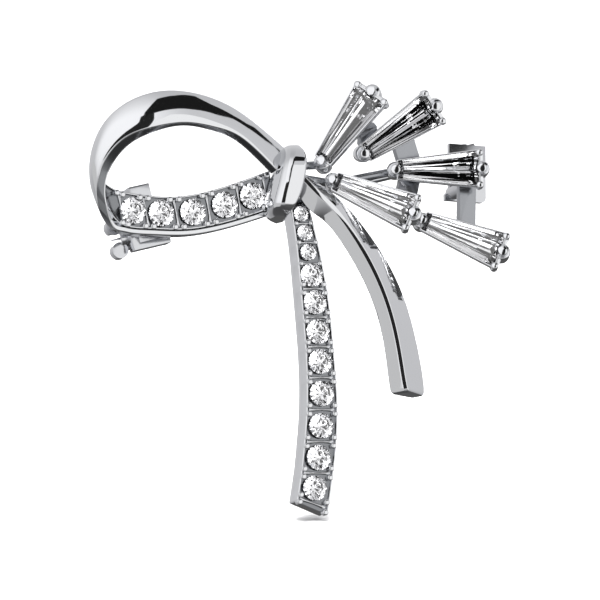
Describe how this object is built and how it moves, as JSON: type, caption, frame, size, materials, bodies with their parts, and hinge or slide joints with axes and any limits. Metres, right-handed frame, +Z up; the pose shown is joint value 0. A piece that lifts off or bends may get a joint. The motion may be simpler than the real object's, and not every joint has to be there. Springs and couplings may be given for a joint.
{
  "type": "brooch",
  "caption": "Ribbon bow brooch with a pave-set loop and tail, a plain polished tail, a spray of tapered baguettes, and a hinged pin with a turning safety catch on the back.",
  "frame": {"origin": "on the axis of the pin stem, midway along the back of the brooch", "axes": "+Z up as worn, -Y out of the front of the brooch, +X to the right as seen from the front; the pin stem lies in the XZ plane and rises 16.45 degrees towards +X"},
  "size_m": [0.0376, 0.0091, 0.0374],
  "materials": {
    "polished_silver": "rhodium plated, mirror polished",
    "cast_findings": "rhodium plated, as cast and tumbled",
    "pin_wire": "drawn hard wire, plated",
    "cubic_zirconia": "clear, facet polished"
  },
  "bodies": {
    "bow": {"baguette_setting_1": "polished_silver", "baguette_setting_2": "polished_silver", "baguette_setting_3": "polished_silver", "baguette_setting_4": "polished_silver", "baguette_setting_5": "polished_silver", "baguette_stone_1": "cubic_zirconia", "baguette_stone_2": "cubic_zirconia", "baguette_stone_3": "cubic_zirconia", "baguette_stone_4": "cubic_zirconia", "baguette_stone_5": "cubic_zirconia", "catch_base": "cast_findings", "hinge_bracket": "cast_findings", "hinge_rivet": "pin_wire", "knot_band": "polished_silver", "link_1_2": "polished_silver", "link_2_3": "polished_silver", "link_3_4": "polished_silver", "link_4_3": "polished_silver", "link_4_5": "polished_silver", "link_knot_1": "polished_silver", "link_knot_4": "polished_silver", "loop_stone_1": "cubic_zirconia", "loop_stone_2": "cubic_zirconia", "loop_stone_3": "cubic_zirconia", "loop_stone_4": "cubic_zirconia", "loop_stone_5": "cubic_zirconia", "pave_tail": "polished_silver", "plain_tail": "polished_silver", "ribbon_loop": "polished_silver", "strut_3_5": "polished_silver", "tail_stone_1": "cubic_zirconia", "tail_stone_10": "cubic_zirconia", "tail_stone_11": "cubic_zirconia", "tail_stone_2": "cubic_zirconia", "tail_stone_3": "cubic_zirconia", "tail_stone_4": "cubic_zirconia", "tail_stone_5": "cubic_zirconia", "tail_stone_6": "cubic_zirconia", "tail_stone_7": "cubic_zirconia", "tail_stone_8": "cubic_zirconia", "tail_stone_9": "cubic_zirconia"},
    "pin": {"pin_stem": "pin_wire"},
    "catch": {"catch_rotor": "cast_findings"}
  },
  "joints": [
    {"name": "pin_hinge", "type": "hinge", "parent": "bow", "child": "pin", "pos_m": [0.01621, 0, 0.00479], "axis": [0.2832, 0, -0.9591], "range_deg": [0, 100]},
    {"name": "catch_turn", "type": "hinge", "parent": "bow", "child": "catch", "pos_m": [-0.014, 0, -0.00413], "axis": [-0.9591, 0, -0.2832], "range_deg": [0, 90]}
  ]
}
